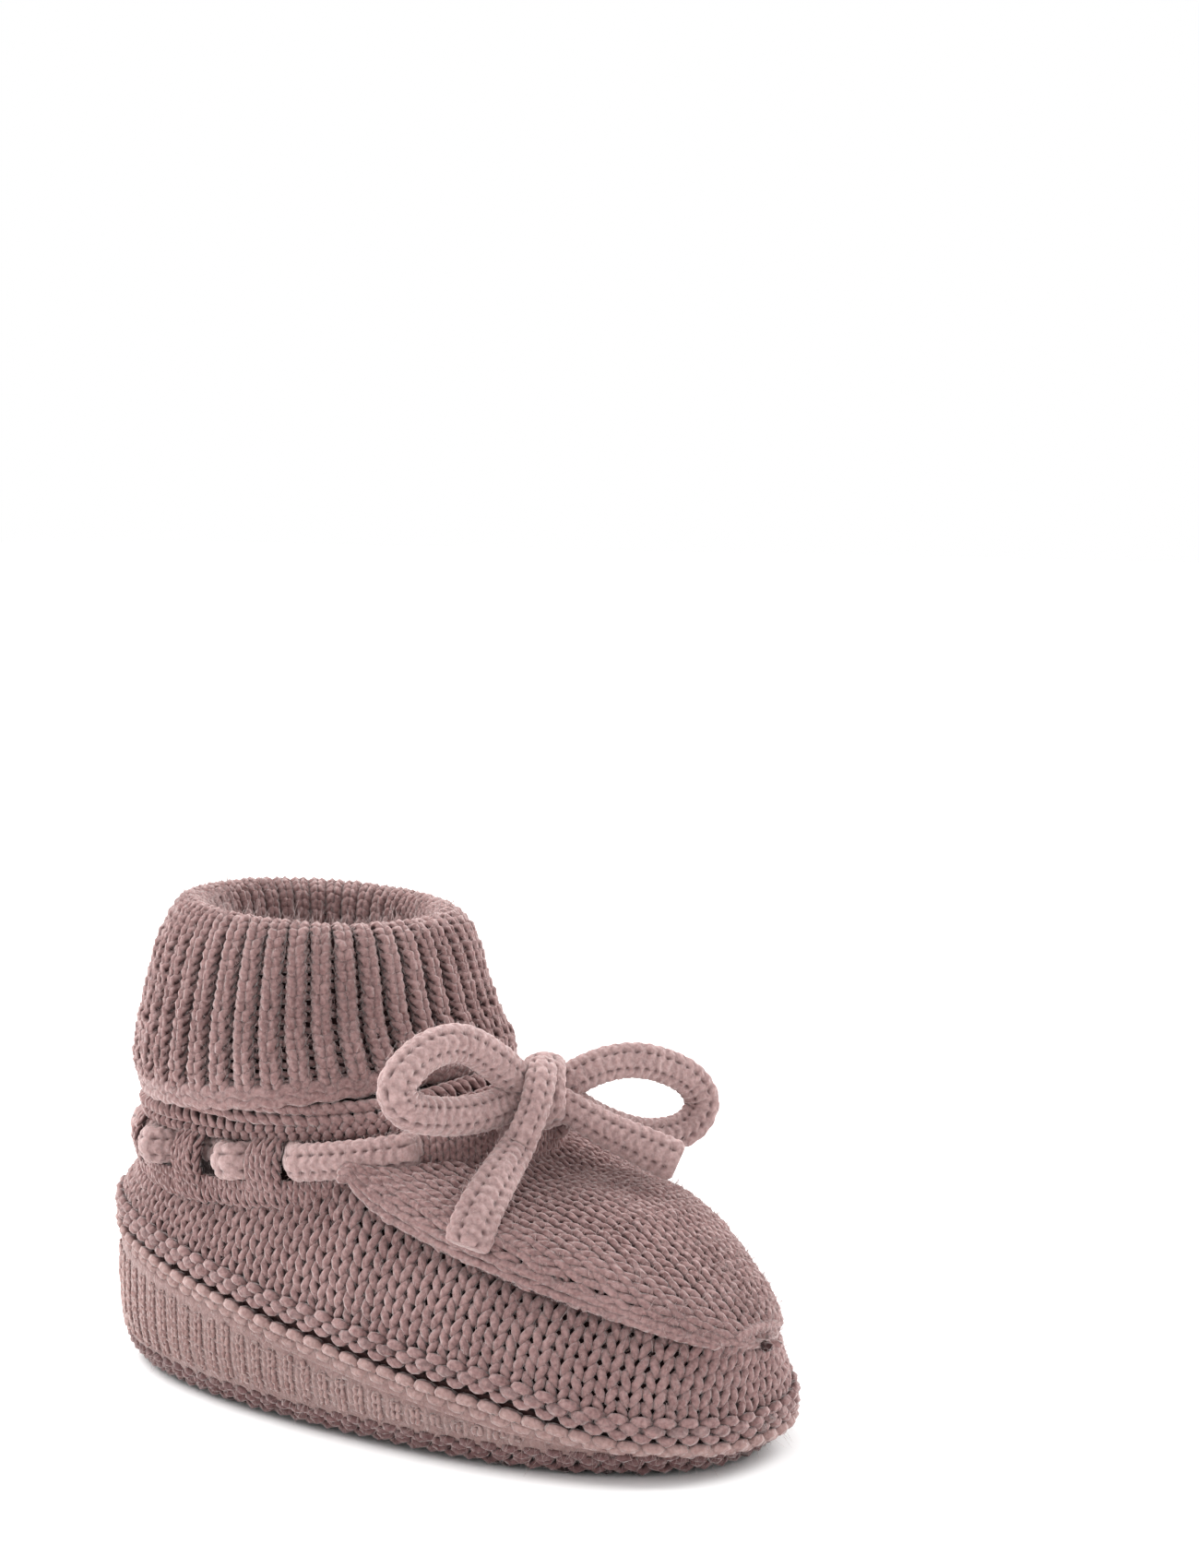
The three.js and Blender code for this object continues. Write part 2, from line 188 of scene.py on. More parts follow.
def smooth_curve(values, count):
    """A smooth curve through the values, as count points."""
    values = np.asarray(values, float)
    padded = np.concatenate([[2 * values[0] - values[1]], values, [2 * values[-1] - values[-2]]])
    share = np.linspace(0, len(values) - 1, count)
    k = np.minimum(share.astype(int), len(values) - 2)
    t = share - k
    a, b, c, d = padded[k], padded[k + 1], padded[k + 2], padded[k + 3]
    return 0.5 * (2 * b + (c - a) * t + (2 * a - 5 * b + 4 * c - d) * t**2 + (3 * b - a - 3 * c + d) * t**3)


# -------------------- surfaces of the foot
# Each is a function of a share round (or across) and a share up (or along).
RIM_TOP = 2.7  # height of the sole's rim
NOSE = 1.9  # how much further the knitting goes at the toe than the CAD's edge
TUCK, TUCK_HEIGHT = 4.2, 2.6  # how far the side turns in at the floor, and how soon that fades
UPPER_RIDGE = 3.3  # height of the upper ridge
LOWER_RIDGE_MOST = 2.6  # height of the lower ridge's knitting, where it isn't thinned out
RIDGE_OUT = 0.3  # how far the ridges stand out
UPPER_START = 3.0  # height of the side upper's lower edge, from the groove


def foot_side(angle, z):
    """The foot's outer side at a height: upright, and rounded in towards the sole."""
    x, y = outline(angle, WALL_BULGE - TUCK * np.exp(-np.maximum(z, 0) / TUCK_HEIGHT))
    return point(x, y, z)


def wall_top(angle):
    return np.maximum(groove_height(angle) - lower_ridge_height(angle) + 0.4, RIM_TOP + 0.5)


def wall(round_share, up):
    """Between the sole's rim and the ridges."""
    angle = foot_angle(round_share)
    return foot_side(angle, mix(RIM_TOP - 0.2, wall_top(angle), up))


def ridge_upper(round_share, up):
    angle = foot_angle(round_share)
    x, y = outline(angle, WALL_BULGE + RIDGE_OUT * np.sin(np.pi * np.clip(up, 0, 1)))
    return point(x, y, groove_height(angle) + 0.1 + up * UPPER_RIDGE)


def ridge_lower(round_share, up):
    angle = foot_angle(round_share)
    x, y = outline(angle, WALL_BULGE + RIDGE_OUT)
    height = np.minimum(lower_ridge_height(angle), LOWER_RIDGE_MOST)
    return point(x, y, groove_height(angle) - 0.1 + (up - 1) * height)


def upper(round_share, up):
    """From the ridges to the eyelets and to the instep's edge."""
    angle = foot_angle(round_share)
    low = groove_height(angle) + UPPER_START
    foot_x, foot_y = outline(angle, WALL_BULGE - 0.5)
    top_x, top_y, top_z = top_edge(angle)
    top_x = top_x + NOSE * smoothstep(0.8, 1, np.cos(angle))
    lean = np.sign(up) * np.abs(up) ** 1.6
    height = mix(low, top_z - 0.1, up)
    return point(mix(foot_x, top_x, lean), mix(foot_y, top_y, lean), height)


# The instep's crest, as distances along the foot and heights.
CREST_X = [2, 8, 14, 21, 28, 35, 42, 46, 49, 50.6, 51.4]
CREST_Z = [36.4, 36.2, 34.6, 31.9, 30.9, 28.9, 24.6, 21.8, 19.2, 17.2, 15.6]
PANEL_END = 51.2
PANEL_ROLL = 2.6  # height of its rolled edge
PANEL_OVERHANG = 1.4  # how far the rolled edge stands out over the side upper
PANEL_LEFT = 0.2  # what is left of the roll and the overhang at the toe
PANEL_MERGE = (27, 44)  # the stretch of the foot in which they fade to that
PANEL_UNDER = 2.4  # how far it goes in under the ankle's knitting
CROWN_POWER = 0.72  # below 1, its section is fuller than a round one


def half_panel(x):
    """Half the width of the instep panel at a distance along the foot."""
    along = np.clip(x / (PANEL_END + 0.2), 0, 1) ** (1 / OUTLINE_POWER)
    return (TOP_HALF_WIDTH + 0.6 - 1.6 * along) * fuller(np.sqrt(1 - along * along))


def panel(across, along):
    """The crowned instep panel. across is a share from one rolled edge to the other."""
    width = np.clip(1 - 2 * across, -1, 1)
    start = ankle_end(width * TOP_HALF_WIDTH) - PANEL_UNDER
    x = mix(start, PANEL_END, np.sin(np.clip(along, 0, 1) * np.pi / 2) * 0.35 + along * 0.65)
    merge = smoothstep(*PANEL_MERGE, x)
    half = half_panel(x)
    edge = top_edge_height(x) + 0.3
    crest = np.interp(x, CREST_X, CREST_Z)
    turn = np.abs(width) ** 1.12 * (np.pi / 2)
    shoulder = mix(PANEL_ROLL, PANEL_LEFT, merge)
    height = np.maximum(crest - edge, 0.3)
    rise = np.cos(turn) ** CROWN_POWER
    z = edge + shoulder * (1 - np.abs(width) ** 10) + (height - shoulder) * rise
    overhang = mix(PANEL_OVERHANG, PANEL_LEFT, merge)
    y = np.sign(width) * (half + overhang) * np.sin(turn) ** mix(1.0, 0.95, merge)
    return point(x, y, z)


def ankle_end(y):
    """Where the panel meets the oval ankle."""
    reach = np.clip(np.abs(y) / (ANKLE_HALF_WIDTH + 0.4), 0, 1)
    oval = ANKLE_X + (ANKLE_HALF_LENGTH + 0.4) * np.sqrt(1 - reach * reach)
    return np.maximum(oval, 4)


# -------------------- surfaces of the ankle and the cuff
BAND_LOW, BAND_HIGH = -3.5, 2.9  # the eyelet band's edges, from the lace row


def eyelets(round_share, up):
    """The band that the lace is threaded through. It leans in under the cuff, most at the front."""
    angle = ankle_angle(round_share)
    front = frontness(angle)
    z = lace_row(angle) + mix(BAND_LOW, BAND_HIGH, up)
    lean = smoothstep(0.5, 1.1, up)
    x, y = ankle(angle, 0.7 - (0.6 + 2.6 * front) * lean)
    return point(x, y, z)


CUFF_SHIFT = 0.7  # how far the hem's middle lies in front of CUFF_X
FOLD_SHIFT = 1.7  # how much further back the fold's middle lies than the hem's
FOLD_DROP = 1.25  # how far the fold sinks at the toe's side, and rises at the heel's


def cuff_ring(angle, radius, shift=CUFF_SHIFT):
    return CUFF_X + shift + radius * np.cos(angle), radius * np.sin(angle)


def garter(round_share, up):
    """Garter rows, from above the eyelets and over the ankle's shoulder to under the hem."""
    angle = ankle_angle(round_share)
    row = lace_row(angle)
    front = frontness(angle)
    low = point(*ankle(angle, 0.1 - 2.6 * front), row + 2.6)
    middle = point(*ankle(angle, 0.8 - 5.4 * front), row + 4.6 - 0.6 * front)
    high = point(*cuff_ring(angle, HEM_RADIUS - 1.9), hem_height(angle) + 1.2)
    share = np.asarray(up, float)[..., None]
    below, above = mix(low, middle, share * 2), mix(middle, high, share * 2 - 1)
    return mix(below, above, smoothstep(0.3, 0.7, share))


# The cuff's section from the hem, up outside, over the fold and down inside: radius and height.
CUFF_RADIUS = [
    24.5, 25.1, 24.9, 23.7, 22.6, 21.7, 20.9, 19.9, 18.7, 16.9, 15.1, 13.9, 13.3, 13.2, 13.6, 14.8,
]
CUFF_HEIGHT = [0, 2.2, 4.8, 9.0, 13.2, 16.8, 19.6, 22.0, 24.0, 24.8, 24.2, 22.6, 20.2, 17, 12.5, 7]
CUFF_TOP = max(CUFF_HEIGHT)
cuff_radius = smooth_curve(CUFF_RADIUS, 241)
cuff_height = smooth_curve(CUFF_HEIGHT, 241)
cuff_walk = np.concatenate([[0], np.cumsum(np.hypot(np.diff(cuff_radius), np.diff(cuff_height)))])
CUFF_LENGTH = cuff_walk[-1]
FOLD_AT = cuff_walk[np.argmax(cuff_height)] / CUFF_LENGTH  # share of the way along to the fold


def rib_depth(up):
    """Half the depth of the furrows: deep low down outside, shallow at the hem and over the fold."""
    outside = smoothstep(0.045, 0.1, up) * (1 - smoothstep(FOLD_AT - 0.17, FOLD_AT - 0.04, up) * 0.85)
    inside = smoothstep(FOLD_AT + 0.03, FOLD_AT + 0.14, up) * 0.6
    return 0.1 + 1.0 * outside + 0.6 * inside


def cuff(round_share, up):
    """From the hem up the outside, over the fold and down the inside."""
    walked = np.clip(up, -0.05, 1.05) * CUFF_LENGTH
    radius = np.interp(walked, cuff_walk, cuff_radius)
    height = np.interp(walked, cuff_walk, cuff_height)
    angle = 2 * np.pi * round_share
    base = hem_height(angle)
    fold = FOLD_TOP - FOLD_DROP * np.cos(angle)
    z = base + height * (fold - base) / CUFF_TOP
    x, y = cuff_ring(angle, radius, CUFF_SHIFT - FOLD_SHIFT * smoothstep(0, 12, height))
    return point(x, y, z)


# -------------------- yarn
class Yarn:
    """Gathers lengths of yarn, and makes one mesh of them."""

    def __init__(self):
        self.points, self.twists, self.loops, self.sizes = [], [], [], []
        self.count = 0

    def lay(self, path, normals, radius, closed=False, sides=SIDES):
        """Adds a tube along a path, with its round section's first side towards the normals."""
        count = len(path)
        if count < 3:
            return
        if closed:
            tangent = np.roll(path, -1, axis=0) - np.roll(path, 1, axis=0)
        else:
            tangent = np.gradient(path, axis=0)
        tangent /= np.linalg.norm(tangent, axis=1)[:, None]
        side = np.cross(tangent, normals)
        side /= np.maximum(np.linalg.norm(side, axis=1)[:, None], 1e-6)
        lift = np.cross(side, tangent)
        turn = np.linspace(0, 2 * np.pi, sides, endpoint=False)
        radius = np.broadcast_to(radius, count)
        cosine, sine = np.cos(turn)[None, :, None], np.sin(turn)[None, :, None]
        ring = cosine * lift[:, None] + sine * side[:, None]
        tube = path[:, None] + ring * radius[:, None, None]
        walked = np.concatenate([[0], np.cumsum(np.linalg.norm(np.diff(path, axis=0), axis=1))])
        twist = np.empty((count, sides, 3))
        # The first part runs from 1 on the yarn's outer side to -1 on its back, where the material paints
        # shade.
        twist[..., 0] = np.cos(turn)
        twist[..., 1] = np.sin(turn)
        twist[..., 2] = walked[:, None]
        self.add(tube.reshape(-1, 3), grid_faces(count, sides, closed), twist.reshape(-1, 3))

    def add(self, points, faces, twist):
        """Adds points and faces. The third argument is each point's place round the yarn and its mm along it;
        its first part also sets how much painted shade the point takes.
        """
        self.points.append(points)
        self.twists.append(twist)
        for face in faces:
            self.loops.append((np.asarray(face) + self.count).ravel())
            self.sizes.append(np.full(len(face), np.shape(face)[1]))
        self.count += len(points)

    def build(self, name, material):
        mesh = bpy.data.meshes.new(name)
        points = np.concatenate(self.points) * MM
        loops = np.concatenate(self.loops).astype(np.int32)
        sizes = np.concatenate(self.sizes).astype(np.int32)
        mesh.vertices.add(len(points))
        mesh.vertices.foreach_set("co", points.astype(np.float32).ravel())
        mesh.loops.add(len(loops))
        mesh.loops.foreach_set("vertex_index", loops)
        mesh.polygons.add(len(sizes))
        starts = np.concatenate([[0], np.cumsum(sizes)[:-1]]).astype(np.int32)
        mesh.polygons.foreach_set("loop_start", starts)
        mesh.polygons.foreach_set("loop_total", sizes)
        mesh.polygons.foreach_set("use_smooth", np.ones(len(sizes), bool))
        twist = mesh.attributes.new("twist", "FLOAT_VECTOR", "POINT")
        twist.data.foreach_set("vector", np.concatenate(self.twists).astype(np.float32).ravel())
        mesh.update(calc_edges=True)
        mesh.validate()
        mesh.materials.append(material)
        piece = bpy.data.objects.new(name, mesh)
        bpy.context.scene.collection.objects.link(piece)
        return piece


def grid_faces(rows, columns, closed):
    """Faces of a tube of rows of points, with a cap at each end unless it is closed on itself."""
    here = np.arange(rows if closed else rows - 1)[:, None] * columns
    there = ((np.arange(rows if closed else rows - 1) + 1) % rows)[:, None] * columns
    i = np.arange(columns)[None, :]
    j = (i + 1) % columns
    quads = np.stack([here + i, here + j, there + j, there + i], axis=-1).reshape(-1, 4)
    faces = [quads]
    if not closed:
        faces.append(np.arange(columns)[None, ::-1])
        faces.append((rows - 1) * columns + np.arange(columns)[None, :])
    return faces


def normals_of(surface, u, v):
    """Outward unit normals, from small steps on the surface."""
    step = 1e-3
    along_u = surface(u + step, v) - surface(u - step, v)
    along_v = surface(u, v + step) - surface(u, v - step)
    normal = np.cross(along_u, along_v)
    return normal / np.maximum(np.linalg.norm(normal, axis=-1, keepdims=True), 1e-9)


class Stitch:
    """The shape of one stitch."""

    def __init__(self, height, lean, depth, radius, swell=0.2, width=1.0, tip=0.0, sink=SINK):
        self.height = height  # half the loop's height, in mm
        self.lean = lean  # how far the loop's head is wider than its neck, in columns
        self.depth = depth  # of its legs in front of (or, below 0, behind) its head, in mm
        self.radius = radius
        self.swell = swell  # how much thicker its middle is
        self.width = width  # share of the column that its loop takes
        self.tip = tip  # how far its head stands in front of its foot, in mm
        self.sink = sink  # how deep its middle lies under the surface, in mm


KNIT = Stitch(height=1.6, lean=0.215, depth=0.4, radius=0.52)
PANEL_KNIT = Stitch(height=1.65, lean=0.2, depth=0.24, radius=0.5, swell=0.12, width=0.9)
PURL = Stitch(height=0.62, lean=0.15, depth=-0.5, radius=0.66, swell=-0.05, sink=0.85)
HEAD = Stitch(height=0.7, lean=0.2, depth=-0.3, radius=0.72, swell=-0.02, tip=0.25, sink=1.0)
RIM = Stitch(height=0.75, lean=0.17, depth=-0.55, radius=0.68, swell=-0.06, sink=1.0)
GRAIN = Stitch(height=0.95, lean=0.08, depth=0.55, radius=0.56, swell=0.25, sink=0.7)


# How uneven the stitches are: in columns, in mm up and outwards, and as a share of the radius.
UNEVEN_ACROSS, UNEVEN_UP, UNEVEN_OUT, UNEVEN_RADIUS = 0.025, 0.08, 0.05, 0.04


def course(
    yarn, place, columns, stitch, at, closed=True, first=0, keep=None, lift=None, sides=SIDES, points=POINTS
):
    """Lays one course. place gives a point at a column's share round and a height in mm, and at is the
    course's own height. keep says where the course shows, and lift moves it off the surface."""
    turn = np.arange(columns * points + (0 if closed else 1)) / points * 2 * np.pi
    jitter = random.normal(0, 1, (4, columns + 2))
    whole_columns = np.arange(columns + 1)

    def uneven(k):
        values = np.append(jitter[k, :columns], jitter[k, 0])
        return np.interp(turn / (2 * np.pi), whole_columns, values)

    column = turn / (2 * np.pi) + np.sin(2 * turn) * stitch.lean
    if stitch.width < 1:
        whole = np.floor(turn / (2 * np.pi))
        column = whole + 0.5 + (column - whole - 0.5) * stitch.width
    column = column + uneven(0) * UNEVEN_ACROSS
    share = (column + first) / columns if closed else column + first
    up_mm = at - stitch.height * np.cos(turn) + uneven(1) * UNEVEN_UP
    out = -stitch.depth * np.cos(2 * turn) - stitch.tip * np.cos(turn)
    out = out + uneven(2) * UNEVEN_OUT - stitch.sink
    normal = normals_of(place, share, up_mm)
    if lift is not None:
        out = out + lift(share, up_mm)
    path = place(share, up_mm) + normal * out[:, None]
    radius = stitch.radius * (1 - stitch.swell * np.cos(2 * turn)) * (1 + uneven(3) * UNEVEN_RADIUS)
    shown = np.ones(len(turn), bool) if keep is None else keep(share, up_mm)
    for start, end, whole in runs(shown, closed):
        if whole:
            yarn.lay(path, normal, radius, closed=closed, sides=sides)
        else:
            pick = np.arange(start, end) % len(path)
            yarn.lay(path[pick], normal[pick], radius[pick], sides=sides)


def runs(shown, closed):
    """Stretches of a course that show, as (start, end, whether it is all of it)."""
    if shown.all():
        return [(0, len(shown), True)]
    edges = np.flatnonzero(np.diff(shown.astype(int))) + 1
    if not closed:
        marks = np.concatenate([[0], edges, [len(shown)]])
        return [(a, b, False) for a, b in zip(marks[:-1], marks[1:]) if shown[a]]
    if len(edges) == 0:
        return []
    found = []
    for a, b in zip(edges, np.roll(edges, -1)):
        if shown[a]:
            found.append((a, b if b > a else b + len(shown), False))
    return found


def span_of(surface, samples=180):
    """The surface's height in mm, as a function of the share round."""
    shares = np.linspace(0, 1, samples + 1)
    ups = np.linspace(0, 1, 25)
    points = surface(shares[:, None] + 0 * ups, ups + 0 * shares[:, None])
    lengths = np.linalg.norm(np.diff(points, axis=1), axis=-1).sum(axis=1)

    def span(share):
        return np.interp(share % 1, shares, lengths)

    return span


def in_mm(surface, from_top=False):
    """The surface as a function of the share round and a height in mm, and its span."""
    span = span_of(surface)

    def place(share, mm):
        up = mm / span(share)
        return surface(share, 1 + up if from_top else up)

    return place, span


def shell(
    yarn, surface, around, along, outer=-1.4, inner=-2.7,
    closed=True, low=0.0, high=1.0, relief=None, lit=FULL_PAINTED_SHADE,
):
    """A closed sheet under the yarn, between two depths below the surface. lit sets how much painted shade it
    takes, from the full painted shade of the depths between the stitches (-1) to the yarn's light side (1)."""
    us = np.linspace(0, 1, around, endpoint=not closed)
    vs = np.linspace(low, high, along)
    u, v = np.meshgrid(us, vs, indexing="ij")
    base = surface(u, v)
    normal = normals_of(surface, u, v)
    outside = base + normal * (outer if relief is None else outer + relief(u, v)[..., None])
    inside = base + normal * inner
    if not closed:
        outside, inside = outside.transpose(1, 0, 2), inside.transpose(1, 0, 2)
    sections = np.concatenate([outside, inside[:, ::-1]], axis=1)
    rows, columns = sections.shape[:2]
    twist = np.tile([lit, 0.0, 0.0], (rows * columns, 1))
    faces = grid_faces(rows, columns, closed)
    if not closed:
        faces = faces[:1] + [strip_cap(columns, 0, False), strip_cap(columns, (rows - 1) * columns, True)]
    yarn.add(sections.reshape(-1, 3), faces, twist)


def strip_cap(columns, start, flip):
    """Quads that close the end of a sheet, between its outer and inner points."""
    half = columns // 2
    i = np.arange(half - 1)
    other = start + columns - 1 - i
    quads = np.stack([start + i, start + i + 1, other - 1, other], axis=-1)
    return quads if flip else quads[:, ::-1]


def ring_yarn(yarn, place, at, radius, sink, count, wave, waves):
    """A length of yarn that runs right round, with a gentle wave."""
    share = np.arange(count) / count
    normal = normals_of(place, share, at + 0 * share)
    path = place(share, at + wave * np.cos(2 * np.pi * share * waves)) - normal * sink
    yarn.lay(path, normal, radius, closed=True, sides=8)


FIBRE_RINGS = 4
FIBRE_SECTION = 0.036 * np.array([[1, 0, 0], [-0.5, 0.87, 0], [-0.5, -0.87, 0.3]])  # three corners, in mm
FIBRE_TAPER = 0.8  # how much thinner the tip is, as a share
FIBRE_LENGTHS = (0.6, 1.7)
FIBRE_ROOT = 0.4  # depth of the root under the surface
FIBRE_OUT, FIBRE_SPREAD, FIBRE_CURL = 0.9, 0.6, 0.35
FIBRE_LIT = 0.9  # how much painted shade the fibres take: at 0.9, none


def fuzz(yarn, surface, count, low=0.0, high=1.0):
    """Fine fibres that have worked loose, and stand out of the yarn in all directions."""
    share, up = random.uniform(0, 1, count), random.uniform(low, high, count)
    normal = normals_of(surface, share, up)
    root = surface(share, up) - FIBRE_ROOT * normal
    lean = normal * FIBRE_OUT + random.normal(0, FIBRE_SPREAD, (count, 3))
    curl = random.normal(0, FIBRE_CURL, (count, 3))
    length = random.uniform(*FIBRE_LENGTHS, count)
    step = np.linspace(0, 1, FIBRE_RINGS)[None, :, None]
    paths = root[:, None] + lean[:, None] * step * length[:, None, None] + curl[:, None] * step**2
    tubes = paths[:, :, None] + FIBRE_SECTION * (1 - FIBRE_TAPER * step)[..., None]
    corners = len(FIBRE_SECTION)
    faces = grid_faces(FIBRE_RINGS, corners, False)
    twist = np.tile([FIBRE_LIT, 0.0, 0.0], (FIBRE_RINGS * corners, 1))
    for tube in tubes:
        yarn.add(tube.reshape(-1, 3), faces, twist)


# -------------------- materials
WOOL_SHADER = {
    "Roughness": 0.92,
    "Specular IOR Level": 0.2,
    "Sheen Weight": 0.6,
    "Sheen Roughness": 0.45,
    "Sheen Tint": (0.97, 0.84, 0.82, 1),
    "Subsurface Weight": 0.3,
    "Subsurface Radius": (1.0, 0.6, 0.55),
    "Subsurface Scale": 0.0007,
}
PLIES, PLY_TURN = 3.0, 5.2  # strands in the yarn, and how they turn, in radians per mm
PAINTED_SHADE_RANGE = (-0.15, 0.85)  # places round the yarn between which the painted shade of the depths gives way to the yarn's own colours


def wool(name, deep, dark, light):
    """Matt plied yarn: a colour that wanders a little, grooves between its plies and fine fibres, and painted
    shade. deep is the painted shade colour on the yarn's back and on the sheets under it.
    """
    material = bpy.data.materials.new(name)
    material.use_nodes = True
    nodes, links = material.node_tree.nodes, material.node_tree.links
    shader = nodes["Principled BSDF"]
    for socket, value in WOOL_SHADER.items():
        shader.inputs[socket].default_value = value

    def maths(operation, a, b=None):
        made = nodes.new("ShaderNodeMath")
        made.operation = operation
        for socket, value in zip(made.inputs, (a, b)):
            if isinstance(value, (int, float)):
                socket.default_value = value
            elif value is not None:
                links.new(value, socket)
        return made.outputs[0]

    def noise(scale, detail):
        made = nodes.new("ShaderNodeTexNoise")
        made.inputs["Scale"].default_value = scale
        made.inputs["Detail"].default_value = detail
        links.new(place, made.inputs["Vector"])
        return made.outputs["Fac"]

    place = nodes.new("ShaderNodeTexCoord").outputs["Object"]
    twist = nodes.new("ShaderNodeAttribute")
    twist.attribute_name = "twist"
    parts = nodes.new("ShaderNodeSeparateXYZ")
    links.new(twist.outputs["Vector"], parts.inputs[0])
    angle = maths("ARCTAN2", parts.outputs["Y"], parts.outputs["X"])
    turned = maths("MULTIPLY", angle, PLIES)
    along = maths("MULTIPLY", parts.outputs["Z"], PLY_TURN)
    plies = maths("SINE", maths("ADD", turned, along))
    patches = noise(scale=90, detail=2)
    fibres = noise(scale=1900, detail=4)
    shade = maths("ADD", maths("MULTIPLY", patches, 0.35), maths("MULTIPLY", fibres, 0.65))
    ramp = nodes.new("ShaderNodeValToRGB")
    ramp.color_ramp.elements[0].position = 0.34
    ramp.color_ramp.elements[0].color = (*dark, 1)
    ramp.color_ramp.elements[1].position = 0.66
    ramp.color_ramp.elements[1].color = (*light, 1)
    links.new(shade, ramp.inputs[0])
    # Painted shade: the yarn's back, and the sheet under it, take the deep colour, as shade in the depths
    # between the stitches.
    depths = nodes.new("ShaderNodeMapRange")
    depths.interpolation_type = "SMOOTHSTEP"
    depths.inputs["From Min"].default_value = PAINTED_SHADE_RANGE[0]
    depths.inputs["From Max"].default_value = PAINTED_SHADE_RANGE[1]
    links.new(parts.outputs["X"], depths.inputs["Value"])
    colour = nodes.new("ShaderNodeMix")
    colour.data_type = "RGBA"
    colour.inputs["A"].default_value = (*deep, 1)
    links.new(depths.outputs[0], colour.inputs["Factor"])
    links.new(ramp.outputs[0], colour.inputs["B"])
    links.new(colour.outputs["Result"], shader.inputs["Base Color"])
    bump = nodes.new("ShaderNodeBump")
    bump.inputs["Strength"].default_value = 0.8
    bump.inputs["Distance"].default_value = 0.00032
    links.new(maths("ADD", maths("MULTIPLY", plies, 0.2), fibres), bump.inputs["Height"])
    links.new(bump.outputs[0], shader.inputs["Normal"])
    return material


# Each wool's first colour is painted shade for the depths between the stitches; the other two are the ends of
# its own wandering colour.
MAUVE = wool("wool_mauve", (0.03, 0.01, 0.01), (0.175, 0.095, 0.091), (0.36, 0.23, 0.22))
# A darker copy of the same wool, as painted shade on the sole, which lies in shadow.
PAINTED_SHADE_WOOL = wool("wool_painted_shade", (0.016, 0.005, 0.005), (0.085, 0.038, 0.038), (0.2, 0.11, 0.107))
# A lighter copy of the same wool, as painted light on the smooth side wall and the lower ridge.
PAINTED_LIGHT_WOOL = wool("wool_band_painted_light", (0.1, 0.048, 0.045), (0.25, 0.15, 0.14), (0.42, 0.285, 0.265))
CORD = wool("wool_lace", (0.055, 0.022, 0.022), (0.29, 0.185, 0.178), (0.5, 0.35, 0.335))


# -------------------- camera, lights and floor
def look(thing, eye, target):
    back = (eye - target).normalized()
    thing.location = eye
    thing.rotation_mode = "QUATERNION"
    thing.rotation_quaternion = (-back).to_track_quat("-Z", "Y")


def make_camera():
    """Low on the bootie's right side, and turned so that the bootie lies low and left of the middle."""
    azimuth, elevation = math.radians(40), math.radians(11)
    distance, lens, sensor = 0.42, 74.4, 36
    data = bpy.data.cameras.new("camera")
    data.lens = lens
    data.sensor_width = sensor
    data.clip_start, data.clip_end = 0.02, 20
    camera = bpy.data.objects.new("camera", data)
    bpy.context.scene.collection.objects.link(camera)
    bpy.context.scene.camera = camera
    target = Vector((0, 0, 0.035))
    flat = math.cos(elevation)
    back = Vector((math.sin(azimuth) * flat, -math.cos(azimuth) * flat, math.sin(elevation)))
    look(camera, target + back * distance, target)
    half_view = sensor / 2 / lens  # of the frame's height, as a tangent
    left_of_middle, below_middle = 0.2035, 0.4376  # where the bootie lies, in half heights of the frame
    turn_right = math.atan(left_of_middle * half_view)
    turn_up = math.atan(below_middle * half_view)
    turn = Matrix.Rotation(-turn_right, 4, "Y") @ Matrix.Rotation(turn_up, 4, "X")
    straight = camera.rotation_quaternion.to_matrix().to_4x4()
    camera.rotation_quaternion = (straight @ turn).to_quaternion()


def sun(name, towards, strength, softness):
    """A light from the direction towards, which points from the bootie to it. softness is in degrees."""
    data = bpy.data.lights.new(name, "SUN")
    data.energy = strength
    data.angle = math.radians(softness)
    light = bpy.data.objects.new(name, data)
    bpy.context.scene.collection.objects.link(light)
    look(light, Vector(towards), Vector((0, 0, 0)))


def make_stage():
    size = 6.0
    mesh = bpy.data.meshes.new("floor")
    corners = [(-size, -size, 0), (size, -size, 0), (size, size, 0), (-size, size, 0)]
    mesh.from_pydata(corners, [], [(0, 1, 2, 3)])
    floor = bpy.data.objects.new("floor", mesh)
    bpy.context.scene.collection.objects.link(floor)
    material = bpy.data.materials.new("floor_pale")
    material.use_nodes = True
    shader = material.node_tree.nodes["Principled BSDF"]
    shader.inputs["Base Color"].default_value = (0.96, 0.96, 0.96, 1)
    shader.inputs["Roughness"].default_value = 0.9
    mesh.materials.append(material)
    world = bpy.data.worlds.new("studio")
    world.use_nodes = True
    background = world.node_tree.nodes["Background"]
    background.inputs["Color"].default_value = (1, 1, 1, 1)
    background.inputs["Strength"].default_value = 1.0
    bpy.context.scene.world = world
    sun("key", (-0.62, -0.12, 0.70), strength=3.4, softness=45)
    sun("back", (0.21, 0.69, 0.52), strength=2.2, softness=40)
    bpy.context.scene.view_settings.view_transform = "Standard"


def done(yarn, node, material, body=ROOT):
    """Makes the mesh, and lets it stand for its CAD node."""
    piece = yarn.build(node + "_knit", material)
    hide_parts(node)
    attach(piece, body)
    return piece


